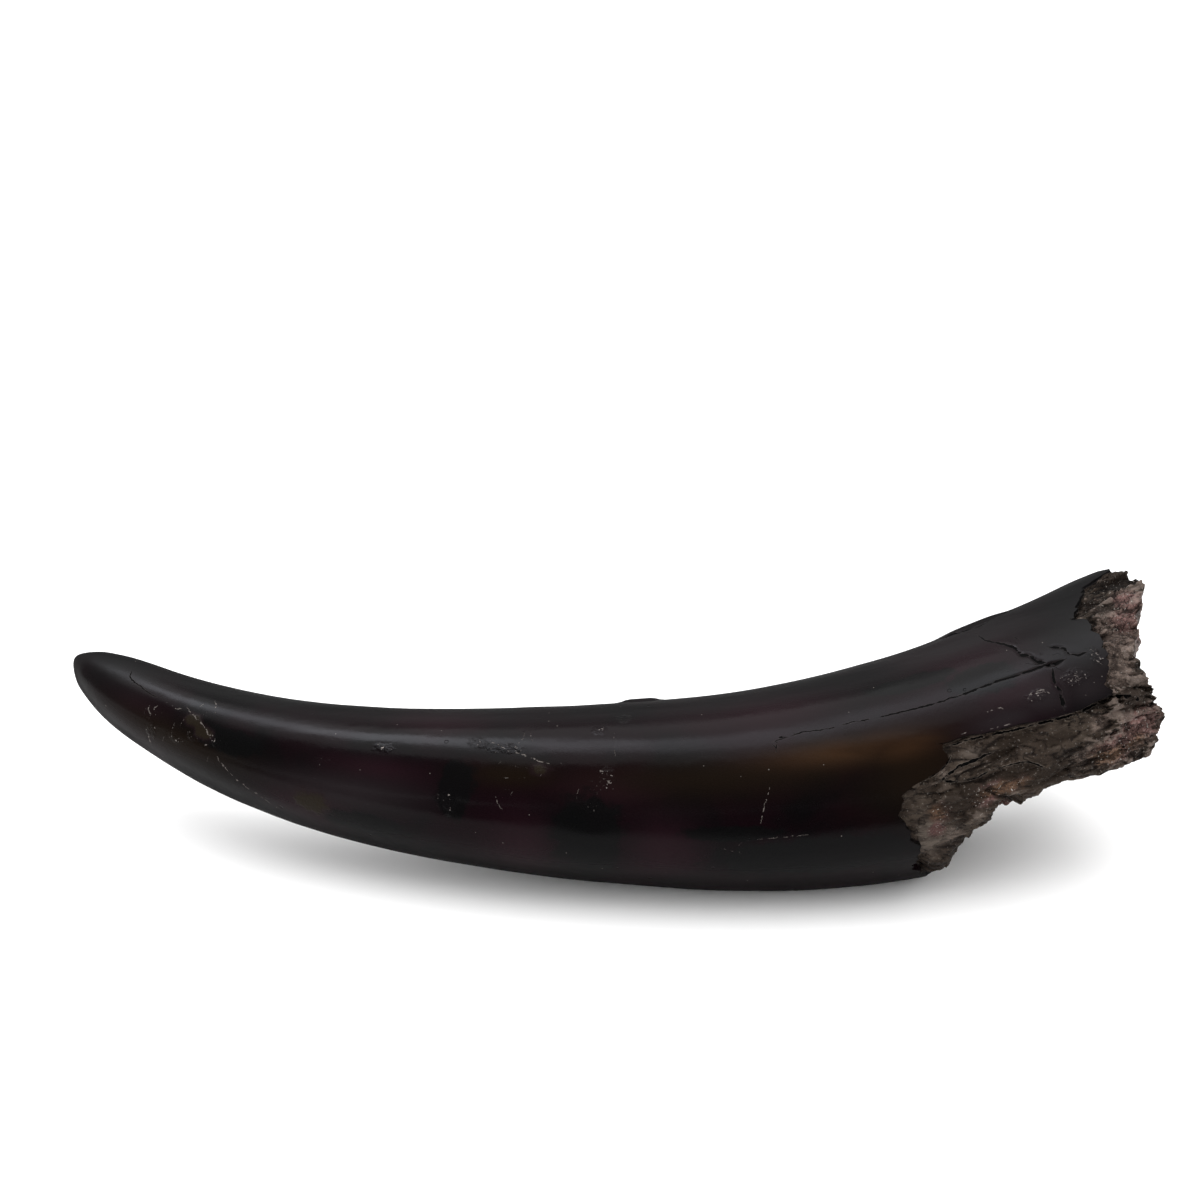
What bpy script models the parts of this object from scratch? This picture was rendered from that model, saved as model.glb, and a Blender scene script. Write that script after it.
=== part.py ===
"""Fossil deinothere tusk, one solid lying on its belly.

The tusk runs along +X from the rounded tip to the broken root. Both ends bow
toward +Y and lift clear of the ground, so it rests on a small worn flat under
the thickest part. Lengths are in metres and angles in degrees. The angle
around the tusk is 0 at the back (+Y), 90 on top, 180 at the front and 270
underneath; the distance along it is measured on the spine from the tip.
"""
import bmesh
import bpy
import numpy as np

# Spine: a parabola seen from above, lifted at both ends.
TIP_X = -0.258
ROOT_X = 0.262
BOW_CENTRE_X = 0.008
BOW_PER_METRE = 1.10
BELLY_AXIS_HEIGHT = 0.0409
TIP_LIFT = 0.0323
TIP_LIFT_START_X = -0.058
TIP_LIFT_POWER = 3.1
ROOT_LIFT = 0.0463
ROOT_LIFT_START_X = 0.014
ROOT_LIFT_POWER = 2.2
SPINE_SAMPLES = 800

# Oval cross-section: half its short side along the spine, long over short side,
# and how far the long side dips toward the back.
HALF_HEIGHTS = (
    (0.000, 0.0047),
    (0.025, 0.0143),
    (0.060, 0.0198),
    (0.120, 0.0267),
    (0.200, 0.0340),
    (0.300, 0.0417),
    (0.400, 0.0491),
    (0.470, 0.0523),
    (0.560, 0.0485),
)
WIDTH_RATIO = 1.18
OVAL_DIP = 25.0
TIP_ROUNDING = 0.014

# Dark outer layer: where it stops around the root, as (angle, distance).
FRONT_LEDGE = 146.0
BACK_LEDGE = 334.0
LEDGE_SLOPE = 2.0
SKIN_THICKNESS = 0.0035
SKIN_END = (
    (-26.0, 0.490),
    (-8.0, 0.505),
    (12.0, 0.498),
    (35.0, 0.510),
    (56.0, 0.503),
    (74.0, 0.519),
    (81.0, 0.501),
    (98.0, 0.486),
    (108.0, 0.483),
    (124.0, 0.479),
    (132.0, 0.478),
    (146.0, 0.468),
)
SPALL_START = (
    (146.0, 0.397),
    (156.0, 0.393),
    (167.0, 0.378),
    (179.0, 0.377),
    (195.0, 0.381),
    (218.0, 0.392),
    (230.0, 0.390),
    (255.0, 0.395),
    (285.0, 0.406),
    (312.0, 0.430),
    (334.0, 0.464),
)
SPALL_DEPTH = 0.0030
SPALL_DEEPENING = 0.045

# Piece missing from under the root: a slanting face across the tusk.
MISSING_ANGLE = 245.0
MISSING_FACE = (
    (0.378, 0.0600),
    (0.393, 0.0500),
    (0.402, 0.0370),
    (0.412, 0.0260),
    (0.435, 0.0235),
    (0.470, 0.0245),
    (0.530, 0.0225),
)

# Broken end: rim of the inner dentine, as (angle, distance), and its middle.
RIM_END = (
    (0.0, 0.517),
    (28.0, 0.510),
    (58.0, 0.520),
    (78.0, 0.528),
    (92.0, 0.526),
    (104.0, 0.519),
    (113.0, 0.512),
    (124.0, 0.499),
    (134.0, 0.492),
    (147.0, 0.493),
    (157.0, 0.496),
    (168.0, 0.495),
    (178.0, 0.485),
    (215.0, 0.470),
    (250.0, 0.473),
    (290.0, 0.486),
    (325.0, 0.505),
)
END_MIDDLE = 0.500
END_RELIEF = 0.0050
DENTINE_RELIEF = 0.0016

# Mesh density.
COLUMNS = 60
SKIN_ROWS = 42
TIP_CROWDING = 1.35
ROOT_ROWS = 13
BAND_ROWS = 3
CAP_RINGS = 5
EDGE_GAP = 0.0012
EDGE_BLEND_POWER = 6
LAST_FULL_RING = 0.394
BAND_LENGTH = 0.014

SKIN_COLOUR = (0.013, 0.010, 0.010, 1.0)
SKIN_ROUGHNESS = 0.3


def smooth_through(points, at):
    """Smooth curve through a few points (monotone cubic)."""
    xs = np.array([p[0] for p in points])
    ys = np.array([p[1] for p in points])
    steps = np.diff(xs)
    slopes = np.diff(ys) / steps
    tangents = np.concatenate((slopes[:1], (slopes[:-1] + slopes[1:]) / 2, slopes[-1:]))
    turning = slopes[:-1] * slopes[1:] <= 0
    tangents[1:-1][turning] = 0
    at = np.clip(at, xs[0], xs[-1])
    cell = np.clip(np.searchsorted(xs, at) - 1, 0, len(steps) - 1)
    width = steps[cell]
    t = (at - xs[cell]) / width
    start = (1 + 2 * t) * (1 - t) ** 2 * ys[cell] + t * (1 - t) ** 2 * width * tangents[cell]
    end = t * t * (3 - 2 * t) * ys[cell + 1] + t * t * (t - 1) * width * tangents[cell + 1]
    return start + end


def around(points, angles):
    """Smooth closed curve of a distance against the angle round the tusk."""
    first, last = points[0], points[-1]
    closed = ((last[0] - 360, last[1]),) + tuple(points) + ((first[0] + 360, first[1]),)
    return smooth_through(closed, angles)


def spine():
    """Points along the spine with their distance from the tip."""
    x = np.linspace(TIP_X, ROOT_X, SPINE_SAMPLES)
    y = BOW_PER_METRE * (x - BOW_CENTRE_X) ** 2
    to_tip = np.clip((TIP_LIFT_START_X - x) / (TIP_LIFT_START_X - TIP_X), 0, None)
    to_root = np.clip((x - ROOT_LIFT_START_X) / (ROOT_X - ROOT_LIFT_START_X), 0, None)
    z = BELLY_AXIS_HEIGHT + TIP_LIFT * to_tip ** TIP_LIFT_POWER
    z = z + ROOT_LIFT * to_root ** ROOT_LIFT_POWER
    points = np.stack((x, y, z), axis=1)
    lengths = np.linalg.norm(np.diff(points, axis=0), axis=1)
    return points, np.concatenate(((0.0,), np.cumsum(lengths)))


def spine_frame(distance):
    """Point on the spine with its sideways and upward directions."""
    points, along = spine()
    centre = np.stack([np.interp(distance, along, points[:, i]) for i in range(3)], axis=-1)
    slope = np.gradient(points, axis=0)
    slope /= np.linalg.norm(slope, axis=1, keepdims=True)
    ahead = np.stack([np.interp(distance, along, slope[:, i]) for i in range(3)], axis=-1)
    back = np.cross((0.0, 0.0, 1.0), ahead)
    back /= np.linalg.norm(back, axis=-1, keepdims=True)
    upward = np.cross(ahead, back)
    return centre, back, upward


def half_height(distance):
    """Half height of the whole oval section, rounded off at the tip."""
    rounding = np.clip(distance / TIP_ROUNDING, 0, 1)
    return smooth_through(HALF_HEIGHTS, distance) * np.sqrt(1 - (1 - rounding) ** 2)


def spall_amount(angles):
    """0 where the dark layer runs to the end, 1 where it has come off."""
    turned = np.mod(angles - FRONT_LEDGE, 360)
    leaving = np.clip(turned / LEDGE_SLOPE, 0, 1)
    back = np.mod(BACK_LEDGE - FRONT_LEDGE, 360)
    return np.where(turned < back, leaving, 0.0)


def relief(angles, distance):
    """Uneven splintered surface, between -1 and 1."""
    ridges = np.sin(np.radians(angles * 9) + 40 * distance)
    lumps = np.sin(210 * distance + np.radians(angles * 4))
    grain = np.sin(470 * distance - np.radians(angles * 13))
    return 0.45 * ridges + 0.35 * lumps + 0.20 * grain


def section_radius(angles, distance, bare):
    """Distance from the spine to the surface, skin or bare dentine."""
    turn = np.radians(angles + OVAL_DIP)
    height = half_height(distance)
    oval = height / np.sqrt((np.cos(turn) / WIDTH_RATIO) ** 2 + np.sin(turn) ** 2)
    loss = SKIN_THICKNESS + DENTINE_RELIEF * relief(angles, distance)
    spalled = spall_amount(angles)
    past = np.clip(distance - around(SPALL_START, angles), 0, None)
    loss = loss + spalled * (SPALL_DEPTH + SPALL_DEEPENING * past)
    radius = oval - bare * loss
    facing = np.cos(np.radians(angles - MISSING_ANGLE))
    face = smooth_through(MISSING_FACE, distance)
    face = face + DENTINE_RELIEF * relief(angles, distance)
    cut = face / np.clip(facing, 0.05, None)
    return np.where((bare > 0) & (spalled > 0), np.minimum(radius, cut), radius)


def crowded_angles(even):
    """The even columns with a close pair drawn in at each long ledge."""
    crowded = even.copy()
    for low in (FRONT_LEDGE, BACK_LEDGE - LEDGE_SLOPE):
        before = np.searchsorted(even, low + LEDGE_SLOPE / 2) - 1
        crowded[before] = low
        crowded[before + 1] = low + LEDGE_SLOPE
    return crowded


def ring_points(angles, distance, bare):
    """One row of surface points, a point for every column."""
    centre, back, upward = spine_frame(distance)
    radius = section_radius(angles, distance, bare)[:, None]
    turn = np.radians(angles)[:, None]
    points = centre + radius * (np.cos(turn) * back + np.sin(turn) * upward)
    points[:, 2] = np.maximum(points[:, 2], 0.0)
    return points


def body_rows():
    """Rows of points from the tip to the rim of the broken end."""
    even = np.arange(COLUMNS) * 360 / COLUMNS
    angles = crowded_angles(even)
    spalled = spall_amount(angles) > 0
    none = np.zeros(COLUMNS)
    last_skin = np.where(spalled, around(SPALL_START, angles), LAST_FULL_RING)
    rim = around(RIM_END, angles)
    band = np.where(spalled, rim - BAND_LENGTH, around(SKIN_END, angles))
    rows = []
    for share in np.linspace(0, 1, SKIN_ROWS + 1)[1:]:
        distance = LAST_FULL_RING * share ** TIP_CROWDING
        distance = distance + (last_skin - LAST_FULL_RING) * share ** EDGE_BLEND_POWER
        drawn_in = even + (angles - even) * share ** EDGE_BLEND_POWER
        rows.append(ring_points(drawn_in, distance, none))
    bare = np.where(spalled, 1.0, 0.0)
    for share in np.linspace(0, 1, ROOT_ROWS):
        distance = last_skin + EDGE_GAP + (band - last_skin - EDGE_GAP) * share
        rows.append(ring_points(angles, distance, bare))
    for share in np.linspace(0, 1, BAND_ROWS):
        distance = band + EDGE_GAP + (rim - band - EDGE_GAP) * share
        rows.append(ring_points(angles, distance, none + 1.0))
    return rows, angles


def end_rings(angles, rim_points):
    """Rings closing the broken end, and the point in its middle."""
    centre, _, _ = spine_frame(np.array((END_MIDDLE,)))
    points, _ = spine()
    ahead = points[-1] - points[-2]
    ahead /= np.linalg.norm(ahead)
    turn = np.radians(angles)
    rings = []
    for share in np.linspace(1, 0, CAP_RINGS + 2)[1:]:
        across = share * np.cos(turn)
        upward = share * np.sin(turn)
        lumps = np.sin(5.5 * across + 2 * upward) * np.cos(4.5 * upward - 2 * across)
        height = END_RELIEF * lumps * (1 - share ** 4)
        ring = centre + (rim_points - centre) * share
        rings.append(ring + height[:, None] * ahead)
    return rings[:-1], rings[-1][0]


def tusk_mesh():
    """Vertices and faces of the whole tusk."""
    rows, angles = body_rows()
    caps, middle = end_rings(angles, rows[-1])
    rows = rows + caps
    tip, _, _ = spine_frame(np.array((0.0,)))
    vertices = [tuple(tip[0])]
    for row in rows:
        vertices.extend(tuple(point) for point in row)
    vertices.append(tuple(middle))
    faces = []
    for i in range(COLUMNS):
        j = (i + 1) % COLUMNS
        faces.append((0, 1 + j, 1 + i))
        for k in range(len(rows) - 1):
            near = 1 + k * COLUMNS
            far = near + COLUMNS
            faces.append((near + i, near + j, far + j, far + i))
        last = 1 + (len(rows) - 1) * COLUMNS
        faces.append((last + i, last + j, len(vertices) - 1))
    return vertices, faces


def centred(vertices):
    """Move the points so the box is centred on the origin and rests on it."""
    points = np.array(vertices)
    low = points.min(axis=0)
    high = points.max(axis=0)
    shift = np.array(((low[0] + high[0]) / 2, (low[1] + high[1]) / 2, low[2]))
    return [tuple(point) for point in points - shift]


def make_material(name, colour):
    """Plain glossy material."""
    material = bpy.data.materials.new(name)
    material.use_nodes = True
    shader = material.node_tree.nodes["Principled BSDF"]
    shader.inputs["Base Color"].default_value = colour
    shader.inputs["Roughness"].default_value = SKIN_ROUGHNESS
    return material


def build():
    """Clear the scene and make the tusk."""
    for old in list(bpy.data.objects):
        bpy.data.objects.remove(old, do_unlink=True)
    vertices, faces = tusk_mesh()
    mesh = bpy.data.meshes.new("tusk")
    mesh.from_pydata(centred(vertices), [], faces)
    mesh.update()
    shape = bmesh.new()
    shape.from_mesh(mesh)
    bmesh.ops.triangulate(shape, faces=shape.faces[:])
    bmesh.ops.recalc_face_normals(shape, faces=shape.faces[:])
    shape.to_mesh(mesh)
    shape.free()
    tusk = bpy.data.objects.new("tusk", mesh)
    tusk.data.materials.append(make_material("fossil_skin", SKIN_COLOUR))
    bpy.context.scene.collection.objects.link(tusk)


build()
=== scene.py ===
"""Studio scene of a fossil deinothere tusk, detailed over its CAD model.

Lengths are metres and angles degrees; tables of spots and marks are in mm and
degrees. A place on the tusk is given as the distance along the spine from the
tip and the angle around it: 0 at the back (+Y), 90 on top, 180 at the front and
270 underneath.
"""
import math

import bpy
import numpy as np
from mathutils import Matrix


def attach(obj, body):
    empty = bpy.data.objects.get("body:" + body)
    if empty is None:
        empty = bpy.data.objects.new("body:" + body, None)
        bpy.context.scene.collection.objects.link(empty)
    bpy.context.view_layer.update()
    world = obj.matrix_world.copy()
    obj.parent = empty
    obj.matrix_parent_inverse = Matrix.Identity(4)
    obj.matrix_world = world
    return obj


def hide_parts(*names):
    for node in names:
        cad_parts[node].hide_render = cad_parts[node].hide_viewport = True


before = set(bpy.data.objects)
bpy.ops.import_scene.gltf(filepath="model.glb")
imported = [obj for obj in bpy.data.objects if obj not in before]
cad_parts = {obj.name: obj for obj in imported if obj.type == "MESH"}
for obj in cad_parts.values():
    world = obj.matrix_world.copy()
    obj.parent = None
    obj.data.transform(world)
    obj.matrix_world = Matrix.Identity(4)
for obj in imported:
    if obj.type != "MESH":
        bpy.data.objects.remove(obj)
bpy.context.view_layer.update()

MM = 0.001

# ------------ main shape
# The spine: a bow seen from above, lifted toward both ends.
TIP_X = -0.258
ROOT_X = 0.262
BOW_CENTRE_X = 0.008
BOW_PER_METRE = 1.10
BELLY_AXIS_HEIGHT = 0.0409
TIP_LIFT = 0.0323
TIP_LIFT_START_X = -0.058
TIP_LIFT_POWER = 3.1
ROOT_LIFT = 0.0463
ROOT_LIFT_START_X = 0.014
ROOT_LIFT_POWER = 2.2
SPINE_SAMPLES = 1600

# Half height of the tusk at distances from the tip.
HALF_HEIGHTS = (
    (0, 0.006), (0.025, 0.0145), (0.06, 0.0198), (0.12, 0.0267), (0.2, 0.034), (0.3, 0.0417),
    (0.4, 0.0491), (0.47, 0.0523), (0.515, 0.0521), (0.56, 0.049),
)
WIDTH_RATIO = 1.18
OVAL_DIP = 25.0
TIP_ROUNDING = 0.013

# The skin with some dentine has spalled off between the two ledges. Outlines
# round the tusk are an angle and a distance from the tip.
FRONT_LEDGE = 146.0
BACK_LEDGE = 334.0
SKIN_THICKNESS = 0.0035
SKIN_END = (
    (-26, 0.49), (-8, 0.505), (12, 0.498), (35, 0.51), (56, 0.503), (74, 0.519), (81, 0.504),
    (92, 0.489), (103, 0.481), (114, 0.48), (124, 0.48), (132, 0.477), (146, 0.47),
)
SPALL_START = (
    (146, 0.398), (156, 0.395), (162, 0.38), (169, 0.376), (175, 0.377), (185, 0.38),
    (198, 0.3825), (209, 0.382), (222, 0.387), (232, 0.387), (248, 0.395), (285, 0.406),
    (312, 0.43), (334, 0.464),
)
SPALL_DEPTH = 0.0030
SPALL_DEEPENING = 0.045
BAND_LOSS = 0.0024

# Underneath near the root a piece is missing: the face left there, as its
# distance from the tip and from the spine.
MISSING_ANGLE = 245.0
MISSING_FACE = (
    (0.378, 0.06), (0.39, 0.056), (0.396, 0.053), (0.399, 0.048), (0.402, 0.041), (0.408, 0.0315),
    (0.414, 0.0288), (0.4165, 0.023), (0.425, 0.0188), (0.428, 0.0252), (0.435, 0.022),
    (0.45, 0.0217), (0.46, 0.0243), (0.47, 0.025), (0.53, 0.024),
)
MISSING_ROUGHNESS = 1.3
LEAST_FACING = 0.05

# Where the tusk ends, all round, and the middle of its broken end.
RIM_END = (
    (0, 0.517), (28, 0.51), (58, 0.52), (78, 0.5205), (92, 0.5205), (104, 0.516), (113, 0.508),
    (124, 0.5), (134, 0.491), (147, 0.4885), (157, 0.489), (168, 0.4915), (178, 0.49), (215, 0.47),
    (250, 0.473), (290, 0.486), (325, 0.505),
)
END_MIDDLE = 0.500

# The band before the end is bare all round; the skin is whole up to the full ring.
BAND_LENGTH = 0.014
BAND_LEAST = 0.004
LAST_FULL_RING = 0.394

# Raggedness of these outlines: amount, waves per turn and seed of the noise.
SPALL_RAGGED = ((0.0011, 9.0, 11), (0.0008, 30.0, 12))
RIM_RAGGED = ((0.0016, 8.0, 21), (0.0012, 24.0, 22))
SKIN_RAGGED = ((0.0020, 8.0, 31), (0.0014, 26.0, 32))

# The long ledge wanders a little as it runs to the root, as (distance, angle).
LEDGE_PATH = (
    (0.385, 145.6), (0.411, 145.4), (0.433, 147), (0.455, 148.4), (0.468, 146.8), (0.5, 147.2),
)
LEDGE_REACH = 13.0
LEDGE_FADE = (0.340, 0.392)
LEDGE_WANDER = 0.5
LEDGE_WAVES = 130

# Dentine left bare in front: its top layer, then edges where a layer has split
# off, as (distance, angle) and the share of the full depth lost there.
FIRST_LAYER = 0.0030
FIRST_DEEPENING = 0.012
LAYERS = (
    (((0.376, 168), (0.39, 163), (0.3966, 160), (0.402, 157), (0.41, 156), (0.4144, 155),
      (0.425, 154.5), (0.44, 153), (0.455, 152), (0.47, 153.5), (0.5, 153)), 0.38),
    (((0.376, 171), (0.385, 165), (0.395, 162), (0.401, 164), (0.408, 164.5), (0.414, 162.5),
      (0.4225, 162), (0.429, 162.5), (0.4327, 164.5), (0.436, 168.5), (0.45, 166), (0.47, 163),
      (0.5, 166)), 0.34),
    (((0.376, 178), (0.39, 174), (0.404, 173), (0.418, 169.5), (0.436, 174), (0.456, 171),
      (0.474, 173), (0.5, 176)), 0.28),
)
LAYER_EDGE = 0.9
LAYER_WANDER = 0.5
LAYER_WAVES = 260

# A stub of dentine left standing, and the share of the loss that it was spared.
# A spot is its distance, its angle, and its half sizes along and round.
STUB = (394.5, 228, 6, 17)
STUB_SHARE = 0.8

# Chips of the broken dentine: sizes as a number per metre, heights in metres.
CHIP_STRETCH = (0.45, 1.0, 1.0)
MEDIUM_STRETCH = (0.8, 1.0, 1.0)
CHIP_TILT = 0.8
CHIP_RIM = 0.5
CHIP_BEND = 0.0016
CHIP_BENDS = 300
COARSE_CHIPS = 100
MEDIUM_CHIPS = 260
MEDIUM_SHARE = 0.7
CHIP_HEIGHT = 0.0007
COARSE_GAP = 0.16
COARSE_GAP_SHARE = 0.7
MEDIUM_GAP = 0.25
MEDIUM_GAP_SHARE = 0.35
GAP_DEPTH = 0.0007
SPLINTERS = 520
SPLINTER_HEIGHT = 0.00025
GRAINS = 420
GRAIN_HEIGHT = 0.0011

# The dentine is coarser and grainy near the root end, between two angles.
GRAINY_FROM = (0.435, 0.482)
GRAINY_TOP = (140.0, 150.0)
GRAINY_BOTTOM = (178.0, 190.0)
LEAST_GRAIN = 0.30

# The hollow mask runs from a deep gap at 0 to a sharp edge at 1; the dentine colour uses it to
# paint shade into the gaps and highlight onto the edges.
HOLLOW_LEVEL = 0.61
HOLLOW_RELIEF = 0.0036
HOLLOW_GAPS = 0.45
HOLLOW_CONTRAST = 0.6

# Chips and lumps of the broken end.
END_COARSE_CHIPS = 95
END_MEDIUM_CHIPS = 250
END_MEDIUM_SHARE = 0.5
END_CHIP_HEIGHT = 0.0018
END_GAP_DEPTH = 0.0008
END_GRAINS = 480
END_GRAIN_HEIGHT = 0.00045
CHIP_FADE = 14
LUMP_HEIGHT = 0.0050
LUMPS_ACROSS = 5.5
LUMPS_UP = 4.5
LUMPS_SKEW = 2.0
LUMP_FADE = 4
END_HOLLOW_LEVEL = 0.60
END_HOLLOW_RELIEF = 0.0060
END_HOLLOW_GAPS = 0.35
# The broken end is lighter all over, partly as painted highlight.
END_PALE_AND_LIT = 0.4
END_RED = 0.55
END_RED_PATCHES = 70

# Spots where the dentine broke smoothly, and the share taken off its chips there.
CALM_SPOTS = (
    (443, 156, 17, 9), (407, 152, 8, 5), (388, 196, 8, 20), (479, 137, 8, 9),
)
CALMED_CHIPS = 0.55
CALMED_GAPS = 0.60
CALMED_SPLINTERS = 0.70
CALMED_GRAIN = 0.45

# Shallow dents in the skin: each is a spot and its depth.
DENTS = (
    (254, 166, 6, 8, 0.8), (260, 172, 4, 5, 0.45), (88, 155, 4.5, 8, 0.45),
    (57.5, 150, 4, 8, 0.35), (201, 167, 4, 8, 0.45), (226, 132, 5, 5, 0.35),
)
SKIN_WAVES = 32
SKIN_WAVE_HEIGHT = 0.00022

# The spot of a flake standing up on the back.
FLAKE = (276.5, 63, 8.5, 5.5)
FLAKE_HEIGHT = 0.0014

# A stretch of skin lifted at the top, with a step at its front angles.
LIFTED_MIDDLE = 0.446
LIFTED_HALF = 0.017
LIFTED_BACK = (35.0, 60.0)
LIFTED_FRONT = (67.5, 69.0)
LIFTED_HEIGHT = 0.0011

# ------------ fine mesh
# Columns crowd at some angles: the angle, a half width and the gain in number.
COLUMNS = 384
ANGLE_SAMPLES = 7201
COLUMN_CROWDS = ((127, 7, 1.0), (148, 6, 1.2), (165, 16, 0.5), (333, 5, 0.8))

# Distance between rows of the skin, at distances from the tip.
LENGTH_SAMPLES = 4001
ROW_SPACING = (
    (0, 0.0008), (0.015, 0.0018), (0.05, 0.0038), (0.098, 0.0042), (0.104, 0.0085), (0.19, 0.0085),
    (0.194, 0.004), (0.208, 0.004), (0.212, 0.007), (0.236, 0.006), (0.246, 0.0032),
    (0.266, 0.0032), (0.268, 0.0022), (0.286, 0.0022), (0.3, 0.007), (0.33, 0.0024),
    (0.394, 0.0014),
)
ROOT_ROWS = 82
BAND_ROWS = 20
CAP_RINGS = 32

# The last rows of the skin bend to its broken edge, with a gap to the next row.
EDGE_GAP = 0.0006
EDGE_BLEND_POWER = 9

# Each layer of noise is this much finer and weaker than the one before.
NOISE_FINER = 2.03
NOISE_WEAKER = 0.5

# Where the CAD frame puts its origin on this shape.
RAW_TO_FRAME = np.array((-0.0161, 0.0275, 0.0))
SHARP_ANGLE = 48.0

# ------------ looks
# Colours are red, green, blue and alpha in linear light.
SKIN_BLACK = (0.0018, 0.0014, 0.0017, 1)
SKIN_CLOUD = (0.0036, 0.0012, 0.0020, 1)
SKIN_PURPLE = (0.0090, 0.0030, 0.0048, 1)
SKIN_EARTHY = (0.0058, 0.0034, 0.0020, 1)
SKIN_WARM = (0.0235, 0.0112, 0.0050, 1)
SKIN_WORN = (0.0105, 0.0078, 0.0088, 1)
SKIN_DARKENED = (0.0020, 0.0021, 0.0022, 1)
SKIN_DULL = (0.0065, 0.0062, 0.0064, 1)
SPOT_HALO = (0.0088, 0.0046, 0.0054, 1)
SPOT_BROWN = (0.0105, 0.0074, 0.0036, 1)
# Painted highlight: glints on the pitted spots.
GLINT = (0.1800, 0.1600, 0.1500, 1)
FLECK = (0.1300, 0.1150, 0.1050, 1)
SCRATCH = (0.1200, 0.1050, 0.0960, 1)
# Lighter chipped lips beside the cracks in the skin, partly a painted highlight.
SKIN_LIP_HIGHLIGHT = (0.0420, 0.0340, 0.0320, 1)
# Painted shade in the cracks and in the shadow lines along ledges.
CRACK_SHADE = (0.0012, 0.0010, 0.0010, 1)
DENTINE_DARK = (0.0320, 0.0228, 0.0168, 1)
DENTINE_GREY = (0.0560, 0.0425, 0.0325, 1)
# Lighter dentine, partly a painted highlight where facets catch the light.
DENTINE_PALE_AND_LIT = (0.0980, 0.0790, 0.0650, 1)
GRAINS_PALE_AND_LIT = (0.1900, 0.1400, 0.1190, 1)
DENTINE_RED = (0.0850, 0.0400, 0.0380, 1)
GRAINS_RED = (0.2300, 0.1300, 0.1180, 1)
DENTINE_TAN = (0.0760, 0.0400, 0.0230, 1)
GRAINS_TAN = (0.2200, 0.1330, 0.0860, 1)
LAYER_BROWN = (0.0270, 0.0190, 0.0150, 1)
GRIT = (0.0180, 0.0100, 0.0085, 1)
# Painted shade in the joints between grains.
JOINT_SHADE = (0.0130, 0.0085, 0.0065, 1)
# Painted shade in the hollows of the dentine.
HOLLOW_SHADE = (0.0070, 0.0048, 0.0040, 1)
# Painted shade in the splits of the dentine.
SPLIT_SHADE = (0.0080, 0.0055, 0.0045, 1)
# Painted highlight on the sharp rims of chips, plain and grainy.
EDGE_HIGHLIGHT = (0.1050, 0.0850, 0.0700, 1)
GRAIN_EDGE_HIGHLIGHT = (0.2500, 0.1950, 0.1680, 1)
DENTINE_SHADOW = (0.0150, 0.0100, 0.0070, 1)
# Painted highlight: sparkles as glints on the dentine.
SPARKLE = (0.3600, 0.3300, 0.3000, 1)
# Lighter chipped lips beside the cracks in the dentine, partly a painted highlight.
DENTINE_LIP_HIGHLIGHT = (0.1300, 0.1080, 0.0920, 1)

# Patches with a ragged edge: the stored mask, scale, detail, roughness and amount
# of the noise added to it, and the sums at which the patch starts and is full.
RAGGED_PATCHES = {
    "black": ("black", 150, 4, 0.6, 0.8, 0.72, 0.98),
    "brown": ("brown", 260, 4, 0.65, 0.7, 0.74, 1.06),
    "halo": ("brown", 260, 4, 0.65, 0.7, 0.52, 0.86),
    "pitted": ("pitted", 420, 3, 0.6, 0.8, 0.7, 1.2),
    "pale_and_lit": ("pale_and_lit", 220, 4, 0.6, 0.8, 0.55, 1.15),
    "dark": ("dark", 220, 4, 0.6, 0.8, 0.55, 1.05),
    "red": ("red", 300, 3, 0.55, 0.75, 0.62, 1.2),
}

# How lines are broken up: how far they wander in mm, how much of them is missing,
# and the scale of the missing bits.
CRACK_BREAKS = (1.5, 0.36, 170)
SCRATCH_BREAKS = (2.2, 0.46, 420)

SPECULAR_LEVEL = 0.070
DENTINE_ROUGHNESS = 0.50
CRACK_ROUGHNESS = 0.8
ALONG_STRETCH = (0.22, 1.0, 1.0)
SWIRL_SIZE = (0.010, 0.010, 0.010)

# Studio light. The key lights what is matt; the sky and the strips give the gloss.
KEY_STRENGTH = 0.9
KEY_WIDTH = 50.0
KEY_TO_FRONT = 14.0
KEY_TO_LEFT = 2.0
SKY_STRENGTH = 1.8
SKY_WIDTH = 62.0
SKY_TO_BACK = 8.0
SKY_TO_LEFT = 4.0
STRIP_HEIGHT = 1.05
STRIP_COLOUR = (0.88, 0.91, 1.0)

# Each strip: x and y of its middle, length, width, turn and radiance.
STRIPS = (
    (-0.45, 0.27, 0.80, 0.24, -37.0, 9.2),
    (0.12, 0.06, 0.60, 0.28, 30.0, 4.5),
)

# The room lights matt surfaces evenly. Mirrored in the gloss it is lighter at the
# back than in front, and the camera sees it as the backdrop.
ROOM_LEVEL = 1.65
ROOM_FRONT = 0.02
ROOM_BACK = 0.55
ROOM_BLEND = 0.6
BACKDROP_LEVEL = 1.0
WHITE = (1.0, 1.0, 1.0, 1)

# The cloth is black in front and grey at its hem, next to the tusk. Seen only in the gloss, it
# darkens the mirrored floor: black in front, and grey at the hem as painted shade of the floor next
# to the tusk.
SHADE_CLOTH_LEFT = -0.75
SHADE_CLOTH_RIGHT = 3.0
SHADE_CLOTH_FRONT_Y = -3.0
SHADE_CLOTH_BLACK_Y = -0.150
SHADE_CLOTH_GREY_Y = -0.115
SHADE_CLOTH_BACK_Y = -0.030
SHADE_CLOTH_HEIGHT = 0.001
SHADE_CLOTH_BLACK = (0.0, 0.0, 0.0, 1)
SHADE_CLOTH_GREY = (0.66, 0.66, 0.66, 1)

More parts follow.
